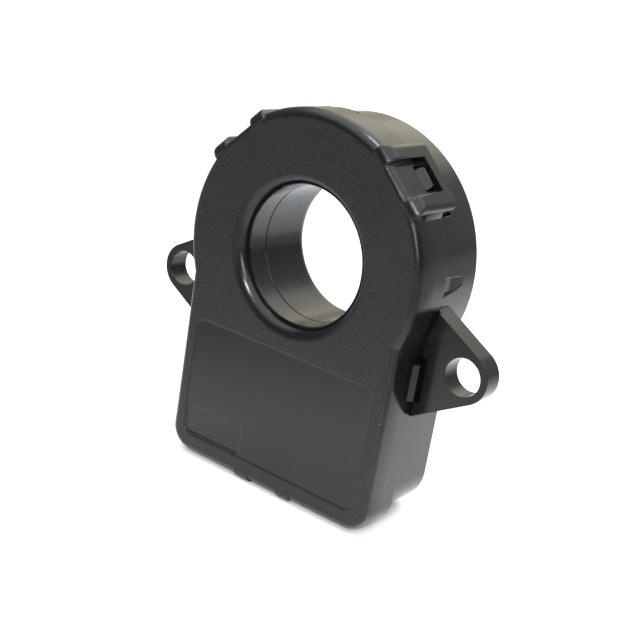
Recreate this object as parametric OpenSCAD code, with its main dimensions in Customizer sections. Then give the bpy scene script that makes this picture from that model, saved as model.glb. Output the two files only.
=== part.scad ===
// Ring-type current sensor: a snap-fitted two-part housing around a round aperture,
// with two ears for screws, a wound ring core and a circuit board inside.
// The aperture runs along Y, the flat face looks towards -Y and +Z is up.
// The origin is the middle of the aperture.

/* [Aperture] */
// Diameter of the aperture for the conductor
bore_d = 24.2; // [18:0.1:27]
// Radius of the rounded rim at both ends of the aperture
rim_r = 2.5; // [1:0.1:3]

/* [Housing] */
// Radius of the round upper body at the front cover
round_r = 24.3; // [23.6:0.1:26]
// Width of the lower box at the front cover
box_w = 45; // [43.5:0.1:47]
// Distance from the aperture's axis down to the bottom
drop = 43.1; // [42:0.1:48]
// Depth of the whole body from front face to rear face
depth = 19.1; // [18.4:0.1:24]
// Depth of the front cover at its outer wall
cover_depth = 8.1; // [7.4:0.1:8.6]
// Depth at which the two halves meet inside the aperture
lip_depth = 6.6; // [4:0.1:8]
// Wall thickness of both halves
wall = 1.6; // [1.2:0.1:1.8]
// Radius of the rounded front edge
edge_r = 1.3; // [0.6:0.1:1.5]
// Depth over which the cover's wall leans in before the front edge
ease_l = 4.5; // [3:0.1:6]
// How far the cover's wall leans in there
ease_in = 0.35; // [0.1:0.05:0.5]
// Rise of the crown on top, between the shoulder latches
crown_rise = 0.65; // [0.4:0.05:1]
// Radius of the rounded rear edge
rear_edge_r = 0.8; // [0.4:0.1:1.2]
// Corner radius at the bottom of the front cover
corner_r = 4.4; // [3:0.1:6]
// Corner radius at the bottom of the rear housing
rear_corner_r = 7; // [5:0.1:8]
// How far the rear housing stands back from the cover's outline
rear_inset = 0.3; // [0.1:0.05:0.5]
// Width of the open seam between the halves
seam = 0.1; // [0.05:0.05:0.3]
// Thickness of the inner rim that slides into the cover
rim_t = 1.2; // [0.8:0.1:1.4]
// Clearance between pieces that slide together
fit = 0.12; // [0.05:0.01:0.2]
// Chamfer beside the seam inside the aperture
seam_cut = 0.1; // [0.05:0.05:0.2]

/* [Latches] */
// Angle of the latch loops on the shoulders, from the horizontal
latch_angle = 46; // [42:0.5:50]
// Width of the window in a loop
window_w = 6.6; // [5:0.1:7]
// Width of one post of a loop
post_w = 3.1; // [2.4:0.1:3.4]
// Rise of a shoulder loop over the round body
latch_rise = 1; // [0.6:0.1:1.4]
// Depth of the flat in front of the window below the round body
latch_flat = 0.3; // [0.2:0.05:0.5]
// Rise of the bottom loop, on which the body stands
foot_rise = 0.7; // [0.4:0.1:1.2]
// How far a loop reaches past the cover's wall
latch_reach = 3.4; // [2.8:0.1:4]
// Width of the bar that closes a loop
bar_w = 2.1; // [1.4:0.1:2.4]
// Radius of a loop's outer corners
latch_r = 1.2; // [0.5:0.1:1.5]
// Gap between a loop's ends and its recess in the rear housing
latch_gap = 0.3; // [0.2:0.05:1]
// Width of the hook in the window
hook_w = 3.9; // [2.5:0.1:4.4]
// Distance of the two snap windows from the middle of the top
notch_x = 2.95; // [2:0.05:4]
// Width of a snap window
notch_w = 1.9; // [1.2:0.1:2.4]
// Length of a snap window in the cover's wall
notch_l = 1; // [0.6:0.1:2.2]
// Height of the ribs on the sides, before the ears
side_rib_h = 6.5; // [5:0.1:8]
// Length of a side rib along the depth
side_rib_l = 2; // [1.4:0.1:2.6]
// How far a side rib stands out from the wall
side_rib_out = 0.8; // [0.3:0.05:1.2]
// Depth of the pry pockets at the sides
pry_deep = 0.4; // [0.2:0.05:1.2]

/* [Ears] */
// Distance between the two ear holes
ear_pitch = 62; // [60:0.5:70]
// Distance from the aperture's axis down to the ear holes
ear_drop = 12.2; // [11:0.1:14]
// Thickness of the ears
ear_t = 4.05; // [3:0.05:6]
// Depth of the ears' front face behind the front face
ear_y = 7.55; // [7:0.05:8]
// Radius of the ears' round tips
ear_tip_r = 4.6; // [4.4:0.1:6]
// Half of the angle between an ear's edges
ear_half_angle = 30; // [25:1:34]
// Diameter of the screw holes in the ears
hole_d = 6.6; // [5.5:0.1:7]

/* [Panels] */
// Width of the recessed label panel
label_w = 39.3; // [30:0.1:40]
// Height of the recessed label panel
label_h = 22.6; // [16:0.1:23]
// Distance from the aperture's axis down to the label panel
label_top = 17; // [16:0.1:18]
// Corner radius of the label panel
label_r = 2; // [0.5:0.1:4]
// Depth of the label panel
label_deep = 0.15; // [0.05:0.05:0.4]
// Width of the small panel in the lower left corner
badge_w = 13; // [8:0.1:18]
// Height of the small panel
badge_h = 5.3; // [3:0.1:8]
// Depth of the small panel below the label panel
badge_deep = 0.12; // [0.05:0.01:0.3]

/* [Connector] */
// Outer width of the connector shroud
shroud_w = 17; // [15:0.1:22]
// Outer height of the connector shroud
shroud_h = 11.5; // [10:0.1:13]
// How far the shroud stands out from the rear face
shroud_out = 12; // [10:0.1:16]
// Wall of the shroud
shroud_wall = 1.3; // [1:0.1:1.6]
// Distance from the aperture's axis down to the connector's middle
plug_drop = 30.5; // [29.6:0.1:31.4]
// Distance between neighbouring terminals
pin_pitch = 2.2; // [1.8:0.1:2.6]
// Side of a square terminal
pin_w = 0.64; // [0.5:0.02:0.8]
// Length of the terminals inside the shroud
pin_out = 7; // [4:0.1:7.5]

/* [Core] */
// Gap between the winding and the housing's inner rim
coil_gap = 0.6; // [0.3:0.05:1]
// Gap between the winding and the aperture tube
tube_gap = 0.5; // [0.3:0.05:1]
// Height of the ring core along the aperture
core_h = 4; // [2.5:0.1:5]
// Wall of the core case
case_t = 0.8; // [0.5:0.1:0.9]
// Thickness of the winding on the case
coil_t = 0.8; // [0.5:0.1:0.9]
// Number of turns in the winding
turns = 40; // [20:1:60]
// Depth of the winding's middle behind the front face
coil_mid = 9.5; // [9:0.1:10]
// Number of ribs that hold the winding
ribs = 6; // [4:1:8]
// Thickness of a rib
rib_t = 1.4; // [0.8:0.1:2]
// Diameter of the winding's wire ends
lead_d = 0.5; // [0.3:0.05:0.6]
// Distance between neighbouring wire ends
lead_pitch = 3; // [2:0.1:3]

/* [Board] */
// Gap between the board's edges and the housing's inner rim
board_gap = 0.4; // [0.2:0.05:0.6]
// Gap between the board and the winding
board_arc_gap = 0.7; // [0.4:0.05:1]
// Distance from the aperture's axis down to the board's upper corners
board_top = 13; // [12.5:0.1:15]
// Thickness of the circuit board
board_t = 1.6; // [1:0.1:2]
// Depth of the board's front side behind the front face
board_y = 7.8; // [7.4:0.1:8.2]
// Diameter of the posts under the board
post_d = 4.4; // [3:0.1:5]
// Diameter of the stake through the board
stake_d = 1.8; // [1.2:0.1:2.2]
// Distance of the posts from the board's edges
post_edge = 2.8; // [2.6:0.1:3.2]

/* [Components] */
// Side of the microcontroller's body
mcu_w = 5; // [4:0.1:5.4]
// Length of the small outline chips' bodies
so_w = 4.9; // [4:0.1:5]
// Width of the transceiver's body
so_h = 3.9; // [3:0.1:4.4]
// Width of the bridge driver's body
driver_h = 1.9; // [1.6:0.1:3]
// Height of the chips' bodies
chip_t = 1.4; // [0.8:0.1:1.8]
// Length of a chip leg on the board
leg_l = 0.8; // [0.5:0.05:1]
// Width of the regulator's body
reg_w = 6; // [5:0.1:6.5]
// Length of the regulator's body
reg_h = 5.2; // [4.5:0.1:5.4]
// Height of the regulator's body
reg_t = 2.2; // [1.6:0.1:2.6]
// Diameter of the storage capacitor's can
can_d = 6.3; // [5:0.1:6.6]
// Height of the storage capacitor's can
can_h = 4.6; // [3:0.1:5.2]
// Diameter of the choke's flanges
choke_d = 4.6; // [3.5:0.1:5]
// Height of the choke
choke_h = 3.2; // [2.4:0.1:4]
// Length of the crystal's can
crystal_w = 5; // [3.2:0.1:5.4]
// Width of the crystal's can
crystal_h = 3.2; // [2.5:0.1:3.4]
// Width of the surge diode's body
diode_w = 3.4; // [2.6:0.1:3.8]
// Length of the surge diode's body
diode_h = 4.3; // [3.4:0.1:4.6]
// Width of the burden resistor
resistor_w = 3; // [2:0.1:3.4]
// Length of the burden resistor
resistor_h = 6.2; // [5:0.1:6.4]
// Length of a ceramic capacitor
ceramic_w = 3.2; // [2:0.1:4]
// Width and height of a ceramic capacitor
ceramic_h = 1.6; // [1:0.1:1.8]
// Gap between neighbouring pieces on the board
piece_gap = 0.6; // [0.3:0.05:0.8]

/* [Hidden] */
$fn = 96;
eps = 0.01;
bore_r = bore_d / 2;
half_w = box_w / 2;
rear_r = round_r - rear_inset;
rear_half_w = half_w - rear_inset;
rear_y = cover_depth + seam;
crown_r = round_r + crown_rise;
crown_edge = crown_rise + edge_r;
// the leaning part of the cover's wall is a wide arc, and the rounded edge runs into it
ease_r = (ease_l * ease_l + ease_in * ease_in) / (2 * ease_in);
ease_x = ease_r - sqrt(pow(ease_r - edge_r, 2) - pow(ease_l - edge_r, 2));
ease_y = ease_l - (ease_l - edge_r) * ease_r / (ease_r - edge_r);
tube_r = bore_r + wall;
rim_out = wall + fit;
rim_in = rim_out + rim_t;
rim_front = cover_depth - 1.7;
rim_back = cover_depth + 2.9;
floor_y = depth - wall;
// the latches: angle, distance of the wall from the axis, rise of the loop, depth of the flat
shoulders = [for (a = [latch_angle, 180 - latch_angle]) [a, round_r, latch_rise, latch_flat]];
foot = [-90, drop, foot_rise, 0];
latches = concat(shoulders, [foot]);
loop_in = wall - 0.05;
loop_end = cover_depth + latch_reach;
loop_half = window_w / 2 + post_w;
bar_y = loop_end - bar_w;
hook_y = cover_depth - 1.2;
notch_y = hook_y - 0.3;
recess_in = loop_in + 0.45;
recess_half = loop_half + latch_gap;
// the ribs on the sides and the pockets for them in the ears
side_rib_z = -ear_drop - 3.75;
slot_gap = 0.75;
slot_step = 1.2;
// the ears
ear_x = ear_pitch / 2;
ear_root = rear_half_w - wall;
ear_relief = 0.45;
// the connector
cavity_w = shroud_w - 2 * shroud_wall;
cavity_h = shroud_h - 2 * shroud_wall;
cavity_y = depth + 0.5;
pin_end = cavity_y + pin_out;
// the core and its winding, from the space between tube and rim
coil_in = tube_r + tube_gap;
coil_out = round_r - rim_in - coil_gap;
case_in = coil_in + coil_t;
case_out = coil_out - coil_t;
core_in = case_in + case_t + fit;
core_out = case_out - case_t - fit;
case_half = core_h / 2 + case_t + fit;
coil_half = case_half + coil_t;
case_joint = coil_mid - 0.8;
rib_front = coil_mid + coil_half + fit / 4;
groove = 0.2;
// the board
board_back = board_y + board_t;
board_w = 2 * (half_w - rim_in - board_gap);
board_low = -drop + rim_in + board_gap;
board_clear = coil_out + board_arc_gap;
post_x = board_w / 2 - post_edge;
post_far = board_clear + post_d / 2 + 0.3;
post_up = min(-sqrt(max(0, post_far * post_far - post_x * post_x)), -board_top - post_edge);
post_z = [post_up, board_low + post_edge];
lead_y = board_y - lead_d / 2;
lead_z = -board_clear - 2.2;
// pieces on the board: columns beside the wire ends, rows from the arc and from the lower edge
col_in = 1.5 * lead_pitch + lead_d / 2 + piece_gap / 2;
col_out = board_w / 2 - 2.6 * piece_gap;
top_row = -board_clear - piece_gap;
low_row = board_low + piece_gap;

// Moves the depth scale, which starts at the front face, to the origin
module placed() {
    translate([0, -depth / 2, 0]) children();
}

// Extrudes a flat shape drawn in X and Z from depth a to depth b
module slab(a, b) {
    translate([0, b, 0]) rotate([90, 0, 0]) linear_extrude(b - a) children();
}

// Turns a profile of radius and depth about the aperture's axis
module turned() {
    rotate([-90, 0, 0]) rotate_extrude() children();
}

// Turns the working axes so that X points outward at an angle in the face
module at_angle(a) {
    rotate([0, -a, 0]) children();
}

// Rectangle with all corners rounded
module round_rect(w, h, r) {
    square([w - 2 * r, h], center = true);
    square([w, h - 2 * r], center = true);
    for (x = [-1, 1], z = [-1, 1]) translate([x * (w / 2 - r), z * (h / 2 - r)]) circle(r);
}

// Lower box of the outline, from the axis down, with two round corners
module box_outline(hw, low, r) {
    translate([-hw, low + r]) square([2 * hw, -low - r]);
    translate([-hw + r, low]) square([2 * (hw - r), r + 1]);
    for (s = [-1, 1]) translate([s * (hw - r), low + r]) circle(r);
}

// Whole outline: the round body and the box under it
module outline(rad, hw, low, r) {
    circle(rad);
    box_outline(hw, low, r);
}

// Outline of the front cover moved inward by a distance
module cover_outline(d) {
    outline(round_r - d, half_w - d, -drop + d, max(corner_r - d, 0.4));
}

// Outline of the rear housing moved inward by a distance
module rear_outline(d) {
    outline(rear_r - d, rear_half_w - d, -drop + d, max(rear_corner_r - d, 0.4));
}

// Solid body on an outline with a rounded edge at depth 0
module edged_body(rad, hw, low, r, e, long) {
    turned() {
        square([rad - e, long]);
        translate([0, e]) square([rad, long - e]);
        translate([rad - e, e]) circle(e);
    }
    slab(e, long) box_outline(hw, low, r);
    slab(0, long) box_outline(hw - e, low + e, r - e);
    for (s = [-1, 1]) {
        translate([s * (hw - e), e, low + r]) cylinder(r = e, h = -low - r);
        translate([s * (hw - r), 0, low + r]) turned() translate([r - e, e]) circle(e);
    }
    translate([-hw + r, e, low + e]) rotate([0, 90, 0]) cylinder(r = e, h = 2 * (hw - r));
}

// Profile of the cover's wall, with its outer face at X 0 and the front face at Y 0
module wall_profile(wide) {
    translate([-wide, 0]) square([wide - ease_x, cover_depth]);
    translate([-wide, ease_l]) square([wide, cover_depth - ease_l]);
    translate([-ease_x, edge_r]) circle(edge_r);
    intersection() {
        translate([-ease_r, ease_l]) circle(ease_r);
        translate([-wide, ease_y]) square([wide, ease_l - ease_y]);
    }
}

// Solid body of the cover, with its wall profile led round the outline
module cover_body() {
    r = corner_r;
    turned() translate([round_r, 0]) wall_profile(round_r);
    slab(0, cover_depth) box_outline(half_w - ease_x, -drop + ease_x, r - ease_x);
    for (s = [0, 1]) mirror([s, 0, 0]) {
        translate([half_w, 0, -drop + r]) linear_extrude(drop - r) wall_profile(r);
        translate([half_w - r, 0, -drop + r]) turned() translate([r, 0]) wall_profile(r);
    }
    translate([-half_w + r, 0, -drop]) rotate([0, 90, 0]) linear_extrude(2 * (half_w - r)) wall_profile(r);
}

// Waste around a rounded edge that runs along Z: the corner is at the origin
module edge_waste(e, long) {
    linear_extrude(long, center = true) difference() {
        translate([-1, -1]) square([e + 1, e + 1]);
        translate([e, e]) circle(e);
    }
}

// Waste that flares one end of the aperture
module rim_waste() {
    turned() difference() {
        translate([bore_r - 1, -1]) square([rim_r + 1, rim_r + 1]);
        translate([bore_r + rim_r, rim_r]) circle(rim_r);
    }
}

// Raised crown on top of the cover, from one shoulder latch to the other
module crown() {
    far = 2 * [cos(latch_angle), sin(latch_angle)] * round_r;
    intersection() {
        turned() {
            translate([round_r - wall, 0]) square([crown_r - crown_edge - round_r + wall, cover_depth]);
            translate([round_r - wall, crown_edge]) square([crown_rise + wall, cover_depth - crown_edge]);
            translate([crown_r - crown_edge, crown_edge]) circle(crown_edge);
        }
        slab(-1, depth) polygon([[0, 0], far, [-far[0], far[1]]]);
    }
}

// Latch loop on the cover: two posts on the wall, joined by a bar behind it
module latch_loop(base, rise, flat) {
    low = base - loop_in;
    top = base + rise;
    difference() {
        translate([(low + top) / 2, loop_end / 2, 0]) cube([top - low, loop_end, 2 * loop_half], center = true);
        for (s = [-1, 1]) {
            translate([top, loop_end / 2, s * loop_half])
                rotate([90, 0, 0]) rotate([0, 0, s > 0 ? 180 : 90]) edge_waste(latch_r, loop_end + 2);
            translate([(low + top) / 2, loop_end, s * loop_half])
                rotate([0, 90, 0]) rotate([0, 0, s > 0 ? -90 : 180]) edge_waste(latch_r, 2 * wall + 8);
        }
        translate([top, 0, 0]) rotate([0, 0, 90]) edge_waste(rise + flat + 0.85 * edge_r, 2 * loop_half + 2);
    }
}

// What the latch takes out of the cover: the window, the flat before it and the hook's way
module latch_window(base, flat) {
    translate([base - flat, -1, -window_w / 2]) cube([10, bar_y + 1, window_w]);
    translate([base - loop_in - 3, notch_y, -hook_w / 2 - 0.4]) cube([10, bar_y - notch_y, hook_w + 0.8]);
    translate([base - flat, 0, 0]) rotate([0, 0, 90]) edge_waste(edge_r, window_w);
}

// Hook on the rear housing that the bar snaps over
module latch_hook(base, flat) {
    root = base - recess_in - 0.6;
    translate([0, 0, -hook_w / 2]) linear_extrude(hook_w) polygon([
        [root, hook_y], [base - loop_in + 0.1, hook_y], [base - flat, bar_y - 3 * fit],
        [base - flat, bar_y - fit], [root, bar_y - fit]
    ]);
}

// Floor of a loop's recess in the rear housing
module latch_floor(base, high) {
    translate([base - rim_in + 0.1, rear_y, -recess_half - 1])
        cube([high - base + rim_in - 0.1, loop_end - rear_y + 1.5, 2 * (recess_half + 1)]);
}

// Two snap windows at the top, from one depth to another and down to a height
module top_windows(a, b, low) {
    for (s = [-1, 1]) translate([s * notch_x - notch_w / 2, a, low]) cube([notch_w, b - a, 2 * wall + 2]);
}

// Waste of the groove at the seam inside the aperture
module seam_waste() {
    turned() polygon([
        [bore_r - 1, lip_depth - seam_cut - 1], [bore_r + seam_cut, lip_depth],
        [bore_r + seam_cut, lip_depth + seam], [bore_r - 1, lip_depth + seam + seam_cut + 1]
    ]);
}

// Ramped rib on the side of the cover that lies in the ear's pocket
module side_rib() {
    front = cover_depth - side_rib_l;
    translate([0, 0, side_rib_z - side_rib_h / 2]) linear_extrude(side_rib_h) polygon([
        [half_w - wall / 2, front], [half_w, front], [half_w + side_rib_out, front + side_rib_l * 0.4],
        [half_w + side_rib_out, cover_depth - seam], [half_w - wall / 2, cover_depth - seam]
    ]);
}

// Outline of one ear with its round tip
module ear_outline() {
    a = ear_half_angle;
    reach = (ear_x + ear_tip_r * sin(a) - ear_root) * tan(a);
    tip = [ear_x + ear_tip_r * sin(a), ear_tip_r * cos(a)];
    translate([0, -ear_drop]) {
        polygon([
            [ear_root, -tip[1] - reach], [tip[0], -tip[1]], [ear_x, 0],
            [tip[0], tip[1]], [ear_root, tip[1] + reach]
        ]);
        translate([ear_x, 0]) circle(ear_tip_r);
    }
}

// One ear with its hole, its step for the cover's wall and its pocket for the side rib
module ear() {
    slot_h = side_rib_h + 1.4;
    slot_z = side_rib_z + 0.5;
    difference() {
        slab(ear_y, ear_y + ear_t) difference() {
            ear_outline();
            rear_outline(wall / 2);
        }
        translate([ear_x, ear_y - 1, -ear_drop]) rotate([-90, 0, 0]) cylinder(d = hole_d, h = ear_t + 2);
        slab(ear_y - 1, rear_y) cover_outline(-ear_relief);
        translate([rear_half_w, ear_y - 1, slot_z - slot_h / 2])
            cube([half_w + side_rib_out + slot_gap - rear_half_w, ear_t + 1 - slot_step, slot_h]);
    }
}

// Scooped pocket behind the seam where a blade can lift the cover
module pry_pocket() {
    intersection() {
        translate([rear_r - 3, 0, 0]) rotate([90, 0, 90]) linear_extrude(6) polygon([
            [rear_y - 1, 2.5], [rear_y + 6.3, 2.1], [rear_y + 6.4, 0.7],
            [rear_y + 4.1, -0.2], [rear_y + 0.8, -0.8], [rear_y - 1, -1]
        ]);
        translate([0, 0, -5]) linear_extrude(10) polygon([
            [rear_r - pry_deep, rear_y - 1], [rear_r - pry_deep, rear_y + 2.6],
            [rear_r, rear_y + 6.4], [rear_r + 4, rear_y + 6.4], [rear_r + 4, rear_y - 1]
        ]);
    }
}

// Shell of the front cover
module front_cover() {
    color([0.16, 0.165, 0.165]) placed() difference() {
        union() {
            difference() {
                union() {
                    cover_body();
                    crown();
                    for (l = latches) at_angle(l[0]) latch_loop(l[1], l[2], l[3]);
                }
                slab(wall, loop_end + 1) cover_outline(wall);
            }
            turned() translate([bore_r - 1, wall / 2]) square([wall + 1, lip_depth - wall / 2]);
            for (i = [0 : ribs - 1]) at_angle(90 + 360 * i / ribs)
                translate([tube_r - wall / 2, wall / 2, -rib_t / 2])
                    cube([coil_out - tube_r, coil_mid - coil_half - fit - wall / 2, rib_t]);
            for (s = [0, 1]) mirror([s, 0, 0]) side_rib();
        }
        turned() translate([0, -1]) square([bore_r, depth]);
        rim_waste();
        seam_waste();
        for (l = latches) at_angle(l[0]) latch_window(l[1], l[3]);
        top_windows(cover_depth - notch_l, cover_depth + 1, round_r - wall - 1);
        translate([0, 0, -label_top - label_h / 2]) slab(-1, label_deep) round_rect(label_w, label_h, label_r);
        translate([(badge_w - label_w) / 2 + 0.5, 0, -label_top - label_h + badge_h / 2 + 0.5])
            slab(-1, label_deep + badge_deep) round_rect(badge_w, badge_h, 0.6);
    }
}

// Connector shroud on the rear face, open to the rear
module shroud() {
    translate([0, 0, -plug_drop]) {
        slab(floor_y, depth + shroud_out) round_rect(shroud_w, shroud_h, 1.5);
        translate([-2.2, 0, shroud_h / 2]) rotate([90, 0, 90]) linear_extrude(4.4)
            polygon([[depth + 6, -0.5], [depth + 6, 1.2], [depth + 7, 1.2], [depth + 10, 0], [depth + 10, -0.5]]);
        for (s = [-1, 1]) translate([s * shroud_w / 2 - 0.6, floor_y, -1.2])
            cube([1.2, shroud_out, 2.4]);
    }
}

// Shell of the rear housing with its ears, hooks, posts and connector
module rear_housing() {
    color([0.1, 0.1, 0.1]) placed() difference() {
        union() {
            difference() {
                translate([0, depth, 0]) mirror([0, 1, 0])
                    edged_body(rear_r, rear_half_w, -drop, rear_corner_r, rear_edge_r, depth - rear_y);
                slab(rear_y - 1, floor_y) rear_outline(wall);
                for (s = [0, 1]) mirror([s, 0, 0]) pry_pocket();
            }
            // inner rim that the cover slides over, and its foot behind the wall
            difference() {
                union() {
                    slab(rim_front, rear_y + 0.5) cover_outline(rim_out);
                    slab(rear_y, rim_back) rear_outline(wall - 0.4);
                }
                slab(rim_front - 1, rim_back + 1) cover_outline(rim_in);
            }
            for (l = shoulders) at_angle(l[0]) latch_floor(l[1], l[1] - rim_out - 0.1);
            at_angle(foot[0]) latch_floor(foot[1], foot[1] - wall + 0.2);
            for (s = [0, 1]) mirror([s, 0, 0]) ear();
            shroud();
            // ribs that carry the winding and brace the aperture tube
            for (i = [0 : ribs - 1]) at_angle(90 + 360 * i / ribs)
                translate([tube_r - wall / 2, rib_front, -rib_t / 2])
                    cube([rear_r - tube_r, floor_y + wall / 2 - rib_front, rib_t]);
            for (s = [-1, 1], z = post_z) translate([s * post_x, 0, z]) board_post();
            turned() translate([bore_r - 1, lip_depth + seam]) square([wall + 1, depth - lip_depth - seam]);
        }
        turned() translate([0, -1]) square([bore_r, depth + 2]);
        translate([0, depth, 0]) mirror([0, 1, 0]) rim_waste();
        seam_waste();
        for (l = latches) at_angle(l[0]) difference() {
            translate([l[1] - recess_in, rear_y - 1, -recess_half])
                cube([8, loop_end - rear_y + 1 + 2 * fit, 2 * recess_half]);
            latch_hook(l[1], l[3]);
        }
        top_windows(rear_y - 1, rear_y + notch_l, rear_r - wall / 2);
        translate([0, 0, -plug_drop]) slab(cavity_y, depth + shroud_out + 1) round_rect(cavity_w, cavity_h, 0.8);
        for (i = [0 : 3]) translate([(i - 1.5) * pin_pitch, depth, -plug_drop])
            cube([pin_w + fit, 2 * wall + 4, pin_w + fit], center = true);
    }
    color([0.1, 0.1, 0.1]) placed()
        for (l = latches) at_angle(l[0]) latch_hook(l[1], l[3]);
}

// Post under the board with a stake and its formed head
module board_post() {
    rotate([-90, 0, 0]) {
        translate([0, 0, board_back]) cylinder(d = post_d, h = floor_y + wall / 2 - board_back);
        translate([0, 0, board_y - 0.8]) cylinder(d = stake_d, h = board_t + 1.2);
        translate([0, 0, board_y - 0.8]) cylinder(d = stake_d + 1.6, h = 0.8 - fit / 2);
    }
}

// Ring of wound magnetic tape
module ring_core() {
    color([0.45, 0.45, 0.47]) placed() turned()
        translate([core_in, coil_mid - core_h / 2]) square([core_out - core_in, core_h]);
}

// One half of the core's case, between two depths
module case_half_shell(a, b) {
    placed() turned() difference() {
        translate([case_in, a]) square([case_out - case_in, b - a]);
        translate([core_in - fit, coil_mid - core_h / 2 - fit])
            square([core_out - core_in + 2 * fit, core_h + 2 * fit]);
    }
}

module core_case_front() {
    color([0.85, 0.84, 0.78]) case_half_shell(coil_mid - case_half, case_joint);
}

module core_case_rear() {
    color([0.85, 0.84, 0.78]) case_half_shell(case_joint, coil_mid + case_half);
}

// Winding around the case: a closed sleeve with a groove between neighbouring turns
module winding() {
    wide = coil_out - coil_in;
    color([0.72, 0.42, 0.2]) placed() difference() {
        turned() difference() {
            translate([coil_in, coil_mid - coil_half]) square([wide, 2 * coil_half]);
            translate([case_in, coil_mid - case_half]) square([case_out - case_in, 2 * case_half]);
        }
        for (i = [0 : turns - 1]) at_angle(360 * (i + 0.5) / turns)
            translate([0, coil_mid, 0]) linear_extrude(0.3, center = true) difference() {
                translate([coil_in - 2, -coil_half - 2]) square([wide + 4, 2 * coil_half + 4]);
                translate([coil_in + groove, -coil_half + groove])
                    square([wide - 2 * groove, 2 * (coil_half - groove)]);
            }
    }
}

// Wire end that lies on the board and meets the winding
module lead(x) {
    top = -sqrt(coil_out * coil_out - x * x) - fit;
    color([0.72, 0.42, 0.2]) placed() translate([x, lead_y, lead_z]) cylinder(d = lead_d, h = top - lead_z);
}

module lead_1() { lead(-1.5 * lead_pitch); }
module lead_2() { lead(-0.5 * lead_pitch); }
module lead_3() { lead(0.5 * lead_pitch); }
module lead_4() { lead(1.5 * lead_pitch); }

// Circuit board, cut round the winding
module circuit_board() {
    color([0.1, 0.32, 0.18]) placed() slab(board_y, board_back) difference() {
        intersection() {
            translate([-board_w / 2, board_low]) square([board_w, -board_top - board_low]);
            rear_outline(wall + board_gap);
        }
        circle(board_clear);
        for (s = [-1, 1], z = post_z) translate([s * post_x, z]) circle(d = stake_d + 2 * fit);
        for (i = [0 : 3]) translate([(i - 1.5) * pin_pitch, -plug_drop]) circle(d = pin_w * sqrt(2) + fit);
    }
}

// Square terminal from the board into the connector
module terminal(i) {
    color([0.8, 0.72, 0.45]) placed()
        translate([(i - 1.5) * pin_pitch - pin_w / 2, board_y - 0.6, -plug_drop - pin_w / 2])
            cube([pin_w, pin_end - board_y + 0.6, pin_w]);
}

module terminal_1() { terminal(0); }
module terminal_2() { terminal(1); }
module terminal_3() { terminal(2); }
module terminal_4() { terminal(3); }

// Puts a piece on one side of the board, with the board's side at depth 0
module on_board(x, z, back) {
    placed() translate([x, back ? board_back : board_y, z]) mirror([0, back ? 1 : 0, 0]) children();
}

// Moulded chip: body, and legs on the sides named by their count
module chip(w, h, t, across, up, leg) {
    translate([0, -t / 2 - 0.1, 0]) cube([w, t, h], center = true);
    if (across > 0)
        for (s = [-1, 1], i = [0 : across - 1])
            translate([(i - (across - 1) / 2) * leg, 0, s * (h + leg_l) / 2]) {
                translate([0, -0.1, 0]) cube([leg * 0.45, 0.2, leg_l], center = true);
                translate([0, -t / 4, -s * (leg_l / 2 - 0.1)]) cube([leg * 0.45, t / 2, 0.3], center = true);
            }
    if (up > 0)
        for (s = [-1, 1], i = [0 : up - 1])
            translate([s * (w + leg_l) / 2, 0, (i - (up - 1) / 2) * leg]) {
                translate([0, -0.1, 0]) cube([leg_l, 0.2, leg * 0.45], center = true);
                translate([-s * (leg_l / 2 - 0.1), -t / 4, 0]) cube([0.3, t / 2, leg * 0.45], center = true);
            }
}

// Two-ended block: caps at both ends stand a little proud
module block(w, h, t, tall) {
    cap = tall ? [w, t, h * 0.2] : [w * 0.2, t, h];
    step = tall ? [0, 0, h * 0.4] : [w * 0.4, 0, 0];
    translate([0, -t / 2, 0]) {
        cube([w - 0.1, t - 0.1, h - 0.1], center = true);
        for (s = [-1, 1]) translate(s * step) cube(cap, center = true);
    }
}

module microcontroller() {
    side = mcu_w / 2 + leg_l;
    color([0.12, 0.12, 0.13]) on_board(-col_in - side, top_row - side, false)
        chip(mcu_w, mcu_w, chip_t, 8, 8, mcu_w * 0.12);
}

module bus_transceiver() {
    color([0.12, 0.12, 0.13]) on_board(col_in + so_h / 2 + leg_l, low_row + so_w / 2, false)
        chip(so_h, so_w, chip_t, 0, 4, so_w * 0.26);
}

module bridge_driver() {
    color([0.12, 0.12, 0.13]) on_board(-col_in - so_w / 2, low_row + driver_h / 2 + leg_l, true)
        chip(so_w, driver_h, chip_t, 4, 0, so_w * 0.26);
}

// Power chip with a tab at the top and two legs below
module regulator() {
    tab = 0.9;
    legs = 2 * leg_l;
    color([0.12, 0.12, 0.13]) on_board(col_in + reg_w / 2, top_row - tab - reg_h / 2, false) {
        translate([0, -reg_t / 2 - 0.1, 0]) cube([reg_w, reg_t, reg_h], center = true);
        translate([0, -0.25, reg_h / 2 + tab / 2 - 0.1]) cube([reg_w * 0.82, 0.5, tab + 0.2], center = true);
        for (s = [-1, 1]) translate([s * reg_w * 0.35, -0.3, -reg_h / 2 - legs / 2 + 0.1])
            cube([reg_w * 0.12, 0.6, legs], center = true);
    }
}

module crystal() {
    color([0.75, 0.75, 0.76]) on_board(-col_in - crystal_w / 2, low_row + crystal_h / 2, false) {
        translate([0, -0.5, 0]) cube([crystal_w, 1, crystal_h], center = true);
        translate([0, -1.1, 0]) cube([crystal_w - 0.6, 0.3, crystal_h - 0.6], center = true);
    }
}

// Aluminium can capacitor on its plastic foot
module storage_capacitor() {
    foot = can_d + 0.3;
    color([0.75, 0.75, 0.76]) on_board(col_in + foot / 2, top_row - foot / 2, true) rotate([90, 0, 0]) {
        translate([0, 0, 0.4]) cube([foot, foot, 0.8], center = true);
        translate([0, 0, 0.7]) cylinder(d = can_d, h = can_h);
    }
}

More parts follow.
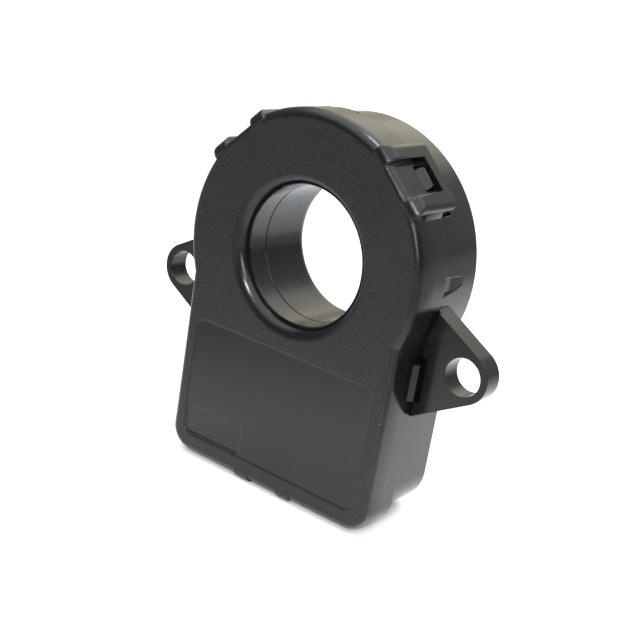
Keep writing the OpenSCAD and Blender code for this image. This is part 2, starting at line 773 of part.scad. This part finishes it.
// Drum-shaped choke between two flanges
module line_choke() {
    flange = choke_h / 4;
    color([0.25, 0.25, 0.26]) on_board(col_in + choke_d / 2, low_row + choke_d / 2, true) rotate([90, 0, 0]) {
        cylinder(d = choke_d, h = flange);
        cylinder(d = choke_d * 0.65, h = choke_h - flange / 2);
        translate([0, 0, choke_h - flange]) cylinder(d = choke_d, h = flange);
    }
}

module surge_diode() {
    color([0.12, 0.12, 0.13]) on_board(-col_out + diode_w / 2, top_row - diode_h / 2 - leg_l, false)
        chip(diode_w, diode_h, chip_t * 1.5, 1, 0, diode_w);
}

module burden_resistor() {
    color([0.15, 0.15, 0.16]) on_board(col_out - resistor_w / 2, top_row - resistor_h / 2, false)
        block(resistor_w, resistor_h, 0.6, true);
}

// One of the ceramic capacitors in a column behind the board
module ceramic(i) {
    color([0.6, 0.48, 0.36])
        on_board(-col_in - ceramic_w / 2, top_row - ceramic_h / 2 - i * (ceramic_h + 1.5 * piece_gap), true)
            block(ceramic_w, ceramic_h, ceramic_h, false);
}

module ceramic_1() { ceramic(0); }
module ceramic_2() { ceramic(1); }
module ceramic_3() { ceramic(2); }

front_cover();
rear_housing();
ring_core();
core_case_front();
core_case_rear();
winding();
lead_1();
lead_2();
lead_3();
lead_4();
circuit_board();
terminal_1();
terminal_2();
terminal_3();
terminal_4();
microcontroller();
bus_transceiver();
regulator();
crystal();
storage_capacitor();
line_choke();
surge_diode();
burden_resistor();
bridge_driver();
ceramic_1();
ceramic_2();
ceramic_3();
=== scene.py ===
import math

import bpy
from mathutils import Matrix, Vector


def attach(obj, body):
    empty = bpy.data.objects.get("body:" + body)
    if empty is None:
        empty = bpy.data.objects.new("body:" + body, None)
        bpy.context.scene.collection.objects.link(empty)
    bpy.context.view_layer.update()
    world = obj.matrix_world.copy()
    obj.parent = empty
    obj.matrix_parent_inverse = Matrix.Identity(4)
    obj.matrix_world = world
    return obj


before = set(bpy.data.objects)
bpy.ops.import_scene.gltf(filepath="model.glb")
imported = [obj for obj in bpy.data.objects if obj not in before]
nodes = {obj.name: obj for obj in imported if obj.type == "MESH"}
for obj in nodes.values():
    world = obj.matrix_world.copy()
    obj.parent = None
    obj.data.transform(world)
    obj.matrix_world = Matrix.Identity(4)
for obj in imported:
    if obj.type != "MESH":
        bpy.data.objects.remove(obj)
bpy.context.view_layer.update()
mm = 0.001
print("stage: frame loaded,", len(nodes), "nodes")


# camera at the photograph's angle
photoView = {
    "lens": 66.944,                         # mm
    "sensor": 36.0,                         # mm wide
    "clipStart": 0.01,                      # m
    "place": (112.63, -166.10, 52.38),      # mm
    "azimuth": 34.064,
    "elevation": 17.978,
    "roll": 9.714,
}


def makeCamera(view):
    az = math.radians(view["azimuth"])
    el = math.radians(view["elevation"])
    roll = math.radians(view["roll"])
    back = Vector((math.sin(az) * math.cos(el), -math.cos(az) * math.cos(el), math.sin(el)))
    side = Vector((math.cos(az), math.sin(az), 0.0))
    up = back.cross(side)
    sideRolled = side * math.cos(roll) + up * math.sin(roll)
    upRolled = up * math.cos(roll) - side * math.sin(roll)
    turn = Matrix((sideRolled, upRolled, back)).transposed().to_4x4()
    lensData = bpy.data.cameras.new("photoCamera")
    lensData.lens = view["lens"]
    lensData.sensor_width = view["sensor"]
    lensData.clip_start = view["clipStart"]
    camera = bpy.data.objects.new("photoCamera", lensData)
    camera.matrix_world = Matrix.Translation(Vector(view["place"]) * mm) @ turn
    bpy.context.scene.collection.objects.link(camera)
    bpy.context.scene.camera = camera


makeCamera(photoView)
print("stage: camera")


# small helpers for node materials
bevelSamples = 6
noiseMiddle = (0.3, 0.7)                    # where most of a noise lies


def startMaterial(name):
    material = bpy.data.materials.new(name)
    material.use_nodes = True
    tree = material.node_tree
    return material, tree, tree.nodes["Principled BSDF"]


def objectCoords(tree):
    return tree.nodes.new("ShaderNodeTexCoord").outputs["Object"]


def stretched(tree, coords, scale):
    n = tree.nodes.new("ShaderNodeMapping")
    n.inputs["Scale"].default_value = scale
    tree.links.new(coords, n.inputs["Vector"])
    return n.outputs["Vector"]


def split(tree, coords):
    n = tree.nodes.new("ShaderNodeSeparateXYZ")
    tree.links.new(coords, n.inputs["Vector"])
    return n.outputs["X"], n.outputs["Y"], n.outputs["Z"]


def noise(tree, coords, scale, detail=2.0, rough=0.5):
    n = tree.nodes.new("ShaderNodeTexNoise")
    n.inputs["Scale"].default_value = scale
    n.inputs["Detail"].default_value = detail
    n.inputs["Roughness"].default_value = rough
    tree.links.new(coords, n.inputs["Vector"])
    return n.outputs["Fac"]


def cells(tree, coords, scale):
    n = tree.nodes.new("ShaderNodeTexVoronoi")
    n.inputs["Scale"].default_value = scale
    tree.links.new(coords, n.inputs["Vector"])
    return n.outputs["Distance"]


def blend(tree, value, low, high):
    n = tree.nodes.new("ShaderNodeValToRGB")
    for stop, place, colour in zip(n.color_ramp.elements, noiseMiddle, (low, high)):
        stop.position = place
        stop.color = (*colour, 1.0)
    tree.links.new(value, n.inputs["Fac"])
    return n.outputs["Color"]


def mapped(tree, value, low, high, outLow, outHigh):
    n = tree.nodes.new("ShaderNodeMapRange")
    n.inputs["From Min"].default_value = low
    n.inputs["From Max"].default_value = high
    n.inputs["To Min"].default_value = outLow
    n.inputs["To Max"].default_value = outHigh
    tree.links.new(value, n.inputs["Value"])
    return n.outputs["Result"]


def maths(tree, what, a, b=None):
    n = tree.nodes.new("ShaderNodeMath")
    n.operation = what
    for socket, v in zip(n.inputs, (a, b)):
        if isinstance(v, (int, float)):
            socket.default_value = v
        elif v is not None:
            tree.links.new(v, socket)
    return n.outputs["Value"]


def plus(tree, a, b):
    return maths(tree, "ADD", a, b)


def minus(tree, a, b):
    return maths(tree, "SUBTRACT", a, b)


def times(tree, a, b):
    return maths(tree, "MULTIPLY", a, b)


def bump(tree, height, strength, distance, before=None):
    n = tree.nodes.new("ShaderNodeBump")
    n.inputs["Strength"].default_value = strength
    n.inputs["Distance"].default_value = distance * mm
    tree.links.new(height, n.inputs["Height"])
    if before:
        tree.links.new(before, n.inputs["Normal"])
    return n.outputs["Normal"]


def softEdge(tree, radius):
    n = tree.nodes.new("ShaderNodeBevel")
    n.samples = bevelSamples
    if isinstance(radius, float):
        n.inputs["Radius"].default_value = radius * mm
    else:
        tree.links.new(radius, n.inputs["Radius"])
    return n.outputs["Normal"]


def assign(name, material):
    mesh = nodes[name].data
    mesh.materials.clear()
    mesh.materials.append(material)


# black plastic of the cover: grained on the flat face, smoother in the label panel, polished elsewhere
coverFinish = {
    "black": 0.005,
    "gloss": 0.36,
    "cloud": 90.0,                          # soft clouds, per m
    "polished": 0.20,                       # roughness of rim, aperture and edges
    "face": (0.46, 0.06),                   # roughness of the grained face, and its spread
    "faceY": -9.55,                         # mm, plane of the face
    "faceFade": (0.012, 0.03),              # mm behind that plane, where the grain ends
    "label": (0.18, 0.03),                  # roughness of the label panel, and its spread
    "labelBox": (19.68, -39.65, -16.95),    # mm, half width, low, high
    "labelDeep": 0.4,                       # mm
    "labelGrain": 0.35,                     # share of the grain in the label panel
    "grainSize": 0.26,                      # mm
    "fineSize": 0.10,                       # mm
    "fineShare": 0.3,
    "grainHeight": 0.018,                   # mm
    "grainBump": 0.55,
    "grainLight": (0.45, 0.68, 0.012),      # the peaks of the grain scatter more light
    "specks": 0.16,                         # tone of the dust
    "speckCells": (420.0, 0.028, 0.050),    # per m, from full to none
    "speckPatches": (210.0, 0.60, 0.64),    # per m, from none to full
    "waves": (60.0, 0.15, 0.04),            # per m, strength, mm
    "edge": (-7.5, -3.5, 0.55, 0.10),       # mm, from here to there in depth, softness of moulded edges
    "outline": (20.6, 21.8, 0.8),           # mm, from here to there, softness of the outer edge
}


def coverMaterial(f):
    material, tree, shader = startMaterial("coverPlastic")
    coords = objectCoords(tree)
    x, y, z = split(tree, coords)

    # where the flat face and the label panel lie
    faceFrom, faceTo = [(f["faceY"] + v) * mm for v in f["faceFade"]]
    plane = mapped(tree, y, faceFrom, faceTo, 1.0, 0.0)
    half, low, high = [v * mm for v in f["labelBox"]]
    inX = maths(tree, "LESS_THAN", maths(tree, "ABSOLUTE", x), half)
    aboveLow = maths(tree, "GREATER_THAN", z, low)
    belowHigh = maths(tree, "LESS_THAN", z, high)
    near = maths(tree, "LESS_THAN", y, (f["faceY"] + f["labelDeep"]) * mm)
    label = times(tree, times(tree, inX, times(tree, aboveLow, belowHigh)), near)

    cloud = noise(tree, coords, f["cloud"], 3.0)
    grain = noise(tree, coords, 1.0 / (f["grainSize"] * mm), 2.5, 0.6)
    fine = noise(tree, coords, 1.0 / (f["fineSize"] * mm), 1.0)

    # roughness: polished + face share + label share, with soft clouds
    polished = f["polished"]
    rough = mapped(tree, cloud, *noiseMiddle, polished * 0.8, polished * 1.25)
    for place, (middle, spread) in ((plane, f["face"]), (label, f["label"])):
        more = middle - polished
        share = mapped(tree, grain, 0.25, 0.75, more - spread, more + spread)
        rough = plus(tree, rough, times(tree, place, share))
    tree.links.new(rough, shader.inputs["Roughness"])

    # colour: black, a little greyer on the grain, with pale dust specks
    size, full, none = f["speckCells"]
    dust = mapped(tree, cells(tree, coords, size), full, none, 1.0, 0.0)
    size, none, full = f["speckPatches"]
    sparse = mapped(tree, noise(tree, coords, size, 1.0), none, full, 0.0, 1.0)
    grainFrom, grainTo, light = f["grainLight"]
    grainTone = times(tree, mapped(tree, grain, grainFrom, grainTo, 0.0, light), plane)
    black = mapped(tree, cloud, *noiseMiddle, f["black"] * 0.8, f["black"] * 1.2)
    speck = times(tree, times(tree, dust, sparse), f["specks"])
    tree.links.new(plus(tree, plus(tree, grainTone, black), speck), shader.inputs["Base Color"])

    # soft edges: wide at the outer edge of the face, narrow towards the seam
    front, rear, rim, narrow = [v * mm for v in f["edge"]]
    inner, outer, wide = [v * mm for v in f["outline"]]
    up = maths(tree, "MAXIMUM", z, 0.0)
    out = maths(tree, "SQRT", plus(tree, times(tree, x, x), times(tree, up, up)))
    swell = plus(tree, mapped(tree, out, inner, outer, 0.0, wide - rim), rim - narrow)
    fade = mapped(tree, y, front, rear, 1.0, 0.0)
    edges = softEdge(tree, plus(tree, times(tree, swell, fade), narrow))

    # bump: faint waves, grain on the face and a trace of it in the label panel
    size, strength, deep = f["waves"]
    wave = bump(tree, noise(tree, coords, size, 1.0), strength, deep, edges)
    share = plus(tree, plane, times(tree, label, f["labelGrain"]))
    height = times(tree, plus(tree, grain, times(tree, fine, f["fineShare"])), share)
    tree.links.new(bump(tree, height, f["grainBump"], f["grainHeight"], wave), shader.inputs["Normal"])
    shader.inputs["Specular IOR Level"].default_value = f["gloss"]
    return material


coverPlastic = coverMaterial(coverFinish)
assign("front_cover", coverPlastic)


# black plastic of the rear housing: smooth satin, with faint flow marks
housingFinish = {
    "black": 0.005,
    "gloss": 0.36,
    "cloud": 120.0,                         # per m
    "rough": (0.14, 0.20),
    "flow": (30.0, 30.0, 260.0),            # per m
    "flowBump": (0.12, 0.03),               # strength, mm
    "pores": (5200.0, 0.25, 0.004),         # per m, strength, mm
    "edge": 0.25,                           # mm, softness of moulded edges
}


def housingMaterial(f):
    material, tree, shader = startMaterial("housingPlastic")
    coords = objectCoords(tree)
    cloud = noise(tree, coords, f["cloud"], 3.0)
    flow = noise(tree, stretched(tree, coords, f["flow"]), 1.0, 2.0)
    low, high = [(f["black"] * v,) * 3 for v in (0.7, 1.3)]
    tree.links.new(blend(tree, cloud, low, high), shader.inputs["Base Color"])
    tree.links.new(mapped(tree, cloud, *noiseMiddle, *f["rough"]), shader.inputs["Roughness"])
    skin = bump(tree, flow, *f["flowBump"], softEdge(tree, f["edge"]))
    size, strength, deep = f["pores"]
    pores = bump(tree, noise(tree, coords, size, 2.0), strength, deep, skin)
    tree.links.new(pores, shader.inputs["Normal"])
    shader.inputs["Specular IOR Level"].default_value = f["gloss"]
    return material


housingPlastic = housingMaterial(housingFinish)
assign("rear_housing", housingPlastic)


# pieces inside the housing: nodes, colour, metal, roughness, depth of the marks, marks per m
inside = {
    "coreTape": (
        ["ring_core"],
        (0.42, 0.42, 0.44), 1.0, 0.35, 0.2, (300, 6000, 300)),
    "caseNylon": (
        ["core_case_front", "core_case_rear"],
        (0.72, 0.70, 0.62), 0.0, 0.5, 0.06, (400, 400, 400)),
    "enamelCopper": (
        ["winding", "lead_1", "lead_2", "lead_3", "lead_4"],
        (0.62, 0.27, 0.10), 1.0, 0.28, 0.2, (900, 900, 900)),
    "boardMask": (
        ["circuit_board"],
        (0.02, 0.15, 0.07), 0.0, 0.3, 0.25, (2500, 300, 2500)),
    "tinnedPin": (
        ["terminal_1", "terminal_2", "terminal_3", "terminal_4"],
        (0.70, 0.68, 0.62), 1.0, 0.25, 0.15, (3000, 300, 3000)),
    "chipEpoxy": (
        ["microcontroller", "bus_transceiver", "regulator",
         "surge_diode", "bridge_driver", "burden_resistor"],
        (0.03, 0.03, 0.032), 0.0, 0.5, 0.3, (3000, 3000, 3000)),
    "canMetal": (
        ["crystal", "storage_capacitor"],
        (0.72, 0.72, 0.73), 1.0, 0.3, 0.12, (200, 4000, 200)),
    "chokeFerrite": (
        ["line_choke"],
        (0.06, 0.06, 0.063), 0.0, 0.6, 0.3, (2500, 2500, 2500)),
    "capCeramic": (
        ["ceramic_1", "ceramic_2", "ceramic_3"],
        (0.45, 0.32, 0.2), 0.0, 0.45, 0.15, (1500, 1500, 1500)),
}
insideBump = (0.3, 0.01)                    # strength, mm


def innerMaterial(name, colour, metal, rough, marks, scale):
    material, tree, shader = startMaterial(name)
    cloud = noise(tree, stretched(tree, objectCoords(tree), scale), 1.0, 3.0)
    low = [c * (1.0 - marks) for c in colour]
    high = [min(1.0, c * (1.0 + marks)) for c in colour]
    tree.links.new(blend(tree, cloud, low, high), shader.inputs["Base Color"])
    tree.links.new(mapped(tree, cloud, *noiseMiddle, rough * 0.8, rough * 1.2), shader.inputs["Roughness"])
    tree.links.new(bump(tree, cloud, *insideBump), shader.inputs["Normal"])
    shader.inputs["Metallic"].default_value = metal
    return material


for materialName, (names, *finish) in inside.items():
    material = innerMaterial(materialName, *finish)
    for name in names:
        assign(name, material)
print("stage: materials")


# small forms at the shoulder latches: X outward, Y from the front face, Z along the loop
frontFace = -9.55                           # mm
tiny = 1e-6                                 # m, reach of a pick by place
smoothBelow = 40.0                          # degrees
shoulders = {"right": 46.0, "left": 134.0}  # degrees in the face

# rounded cap on the hook that the loop snaps over
hookCap = {
    "low": (22.9, 6.9, -1.95),              # mm
    "high": (24.7, 9.26, 1.95),
    "ramp": 1.5,
    "round": 0.55,
    "roundSteps": 5,
}

# sloped strip beside the loop
loopStrip = {
    "low": (22.6, 3.0, 6.2),                # mm
    "high": (24.5, 8.0, 7.2),
    "ramp": 1.55,
    "round": 0.12,
    "roundSteps": 3,
}


def startBlock(name, spec):
    bpy.ops.object.select_all(action="DESELECT")
    bpy.ops.mesh.primitive_cube_add(size=1.0)
    piece = bpy.context.object
    piece.name = name
    low, high = Vector(spec["low"]) * mm, Vector(spec["high"]) * mm
    piece.scale = high - low
    piece.location = (low + high) / 2
    bpy.ops.object.transform_apply(location=True, rotation=False, scale=True)
    return piece


def pickEdges(piece, chosen):
    bpy.ops.object.mode_set(mode="EDIT")
    bpy.ops.mesh.select_mode(type="EDGE")
    bpy.ops.mesh.select_all(action="DESELECT")
    bpy.ops.object.mode_set(mode="OBJECT")
    for edge in piece.data.edges:
        edge.select = all(chosen(piece.data.vertices[i].co) for i in edge.vertices)
    bpy.ops.object.mode_set(mode="EDIT")


def finishForm(piece, spec, material):
    bpy.ops.mesh.bevel(offset=spec["round"] * mm, segments=spec["roundSteps"])
    bpy.ops.object.mode_set(mode="OBJECT")
    bpy.ops.object.shade_smooth_by_angle(angle=math.radians(smoothBelow))
    piece.data.materials.append(material)
    return piece


def makeHookCap(spec):
    piece = startBlock("rightHookCap", spec)
    top, front = spec["high"][0] * mm, spec["low"][1] * mm
    pickEdges(piece, lambda v: v.x > top - tiny and v.y < front + tiny)
    bpy.ops.transform.translate(value=(0.0, spec["ramp"] * mm, 0.0))
    pickEdges(piece, lambda v: v.x > top - tiny)
    return finishForm(piece, spec, housingPlastic)


def makeLoopStrip(spec):
    piece = startBlock("rightStripA", spec)
    top, far = spec["high"][0] * mm, spec["high"][2] * mm
    pickEdges(piece, lambda v: v.x > top - tiny and v.z > far - tiny)
    bpy.ops.transform.translate(value=(-spec["ramp"] * mm, 0.0, 0.0))
    level = top - spec["ramp"] * mm
    pickEdges(piece, lambda v: v.x > level - tiny)
    return finishForm(piece, spec, coverPlastic)


def copyForm(source, name, flip):
    bpy.ops.object.select_all(action="DESELECT")
    source.select_set(True)
    bpy.context.view_layer.objects.active = source
    bpy.ops.object.duplicate(linked=False)
    piece = bpy.context.object
    piece.name = name
    if flip:
        bpy.ops.object.mode_set(mode="EDIT")
        bpy.ops.mesh.select_all(action="SELECT")
        bpy.ops.transform.resize(value=(1.0, 1.0, -1.0), center_override=(0.0, 0.0, 0.0))
        bpy.ops.mesh.normals_make_consistent(inside=False)
        bpy.ops.object.mode_set(mode="OBJECT")
    return piece


def setAtShoulder(piece, angle):
    bpy.ops.object.select_all(action="DESELECT")
    piece.select_set(True)
    bpy.context.view_layer.objects.active = piece
    piece.rotation_euler = (0.0, -math.radians(angle), 0.0)
    piece.location = (0.0, frontFace * mm, 0.0)
    bpy.ops.object.transform_apply(location=True, rotation=True, scale=False)
    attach(piece, "root")


cap = makeHookCap(hookCap)
strip = makeLoopStrip(loopStrip)
latchForms = {
    "right": [cap, strip, copyForm(strip, "rightStripB", True)],
    "left": [
        copyForm(cap, "leftHookCap", False),
        copyForm(strip, "leftStripA", False),
        copyForm(strip, "leftStripB", True),
    ],
}
for side, forms in latchForms.items():
    for piece in forms:
        setAtShoulder(piece, shoulders[side])
print("stage: latch forms")


# pale floor with a painted pool of light: its colour is white around the part and behind it and a pale
# grey further off, painted in place of light falling off away from the part
studio = {
    "floorZ": -43.8,                        # mm
    "floorSize": 40.0,                      # m
    "across": (0.83, 0.56),                 # direction across the painted pool of light
    "half": 0.040,                          # m, half width of the painted pool of light
    "front": 0.046,                         # m, painted pool of light in front of the middle
    "soft": 0.060,                          # m, width of the soft change of tone
    "widen": 0.34,                          # growth of the half width towards the back
    "widenRight": 1.4,                      # the same, added on the right
    "reach": 0.07,                          # m, how far back the right side widens so
    # floor colour inside the painted pool of light, and the painted falloff of light outside it
    "paintedPoolWhite": 0.90,
    "paintedFalloffGrey": 0.38,
    "rough": 0.9,
}


def makeFloor(s):
    bpy.ops.object.select_all(action="DESELECT")
    bpy.ops.mesh.primitive_plane_add(size=s["floorSize"], location=(0, 0, s["floorZ"] * mm))
    floor = bpy.context.object
    floor.name = "paleFloor"
    bpy.ops.object.transform_apply(location=True, rotation=False, scale=False)
    material, tree, shader = startMaterial("floorPaintedLightPool")
    x, y, _ = split(tree, objectCoords(tree))
    a, b = s["across"]
    side = plus(tree, times(tree, x, a), times(tree, y, b))
    along = minus(tree, times(tree, y, a), times(tree, x, b))
    wider = times(tree, along, s["widen"])
    beside = maths(tree, "MINIMUM", maths(tree, "MAXIMUM", along, 0.0), s["reach"])
    left = minus(tree, times(tree, side, -1.0), wider)
    right = minus(tree, side, plus(tree, wider, times(tree, beside, s["widenRight"])))
    ahead = minus(tree, s["half"] - s["front"], y)
    off = maths(tree, "MAXIMUM", maths(tree, "MAXIMUM", left, right), ahead)
    # painted pool of light: white near the part fading to pale grey further off, standing in for light
    # falling off
    tone = mapped(tree, off, s["half"], s["half"] + s["soft"], s["paintedPoolWhite"], s["paintedFalloffGrey"])
    tree.links.new(tone, shader.inputs["Base Color"])
    shader.inputs["Roughness"].default_value = s["rough"]
    floor.data.materials.append(material)


# lamps, in m and W
tablePool = {
    "place": (0.02, 0.01, 0.75),
    "aim": (0.008, -0.004, -0.04),
    "power": 21.0,
    "colour": (0.92, 0.97, 1.0),
    "cone": 13.5,                           # degrees
    "blend": 0.8,
    "radius": 0.12,
}
frontLamp = {
    "place": (0.25, -0.53, 0.345),
    "aim": (0, 0, 0),
    "power": 2.6,
    "colour": (1, 1, 1),
    "size": (0.12, 0.10),
}
edgeLamp = {
    "place": (0.43, -0.37, 0.20),
    "aim": (0, 0, 0),
    "power": 1.1,
    "colour": (1, 1, 1),
    "size": (0.12, 0.25),
}


def hangLamp(data, s):
    data.energy = s["power"]
    data.color = s["colour"]
    lamp = bpy.data.objects.new(data.name, data)
    place = Vector(s["place"])
    lamp.location = place
    lamp.rotation_euler = (Vector(s["aim"]) - place).to_track_quat("-Z", "Y").to_euler()
    bpy.context.scene.collection.objects.link(lamp)


def areaLight(name, s):
    data = bpy.data.lights.new(name, "AREA")
    data.shape = "RECTANGLE"
    data.size, data.size_y = s["size"]
    hangLamp(data, s)


def spotLight(name, s):
    data = bpy.data.lights.new(name, "SPOT")
    data.spot_size = math.radians(s["cone"])
    data.spot_blend = s["blend"]
    data.shadow_soft_size = s["radius"]
    hangLamp(data, s)


# air: a dim base and soft lobes of light, each with its direction, edge, core and colour
airBase = (0.30, 0.30, 0.30)
airLobes = {
    "overhead": ((0.10, -0.05, 0.99), 0.50, 0.80, (2.1, 2.25, 2.4)),
    "backLeft": ((-0.53, 0.79, 0.31), 0.80, 0.97, (0.42, 0.38, 0.25)),
    "backHigh": ((-0.25, 0.75, 0.61), 0.88, 0.985, (1.2, 1.15, 0.95)),
    "backRight": ((0.42, 0.80, 0.43), 0.80, 0.97, (0.34, 0.35, 0.30)),
    "darkRight": ((0.85, 0.52, 0.05), 0.75, 0.97, (-0.18, -0.18, -0.19)),
}


def vectorMaths(tree, what, first, second=None):
    n = tree.nodes.new("ShaderNodeVectorMath")
    n.operation = what
    for socket, v in zip(n.inputs, (first, second)):
        if isinstance(v, tuple):
            socket.default_value = v
        elif v is not None:
            tree.links.new(v, socket)
    return n


def makeAir(base, lobes):
    world = bpy.data.worlds.new("studioAir")
    world.use_nodes = True
    tree = world.node_tree
    way = tree.nodes.new("ShaderNodeTexCoord").outputs["Generated"]
    total = base
    for axis, edge, core, colour in lobes.values():
        facing = vectorMaths(tree, "DOT_PRODUCT", way, axis).outputs["Value"]
        share = mapped(tree, facing, edge, core, 0.0, 1.0)
        share.node.interpolation_type = "SMOOTHSTEP"
        lit = vectorMaths(tree, "SCALE", colour)
        tree.links.new(share, lit.inputs["Scale"])
        total = vectorMaths(tree, "ADD", lit.outputs["Vector"], total).outputs["Vector"]
    back = tree.nodes["Background"]
    tree.links.new(total, back.inputs["Color"])
    back.inputs["Strength"].default_value = 1.0
    bpy.context.scene.world = world


makeFloor(studio)
makeAir(airBase, airLobes)
spotLight("tablePool", tablePool)
areaLight("frontLamp", frontLamp)
areaLight("edgeLamp", edgeLamp)
bpy.context.scene.view_settings.view_transform = "Standard"
print("stage: floor and light")
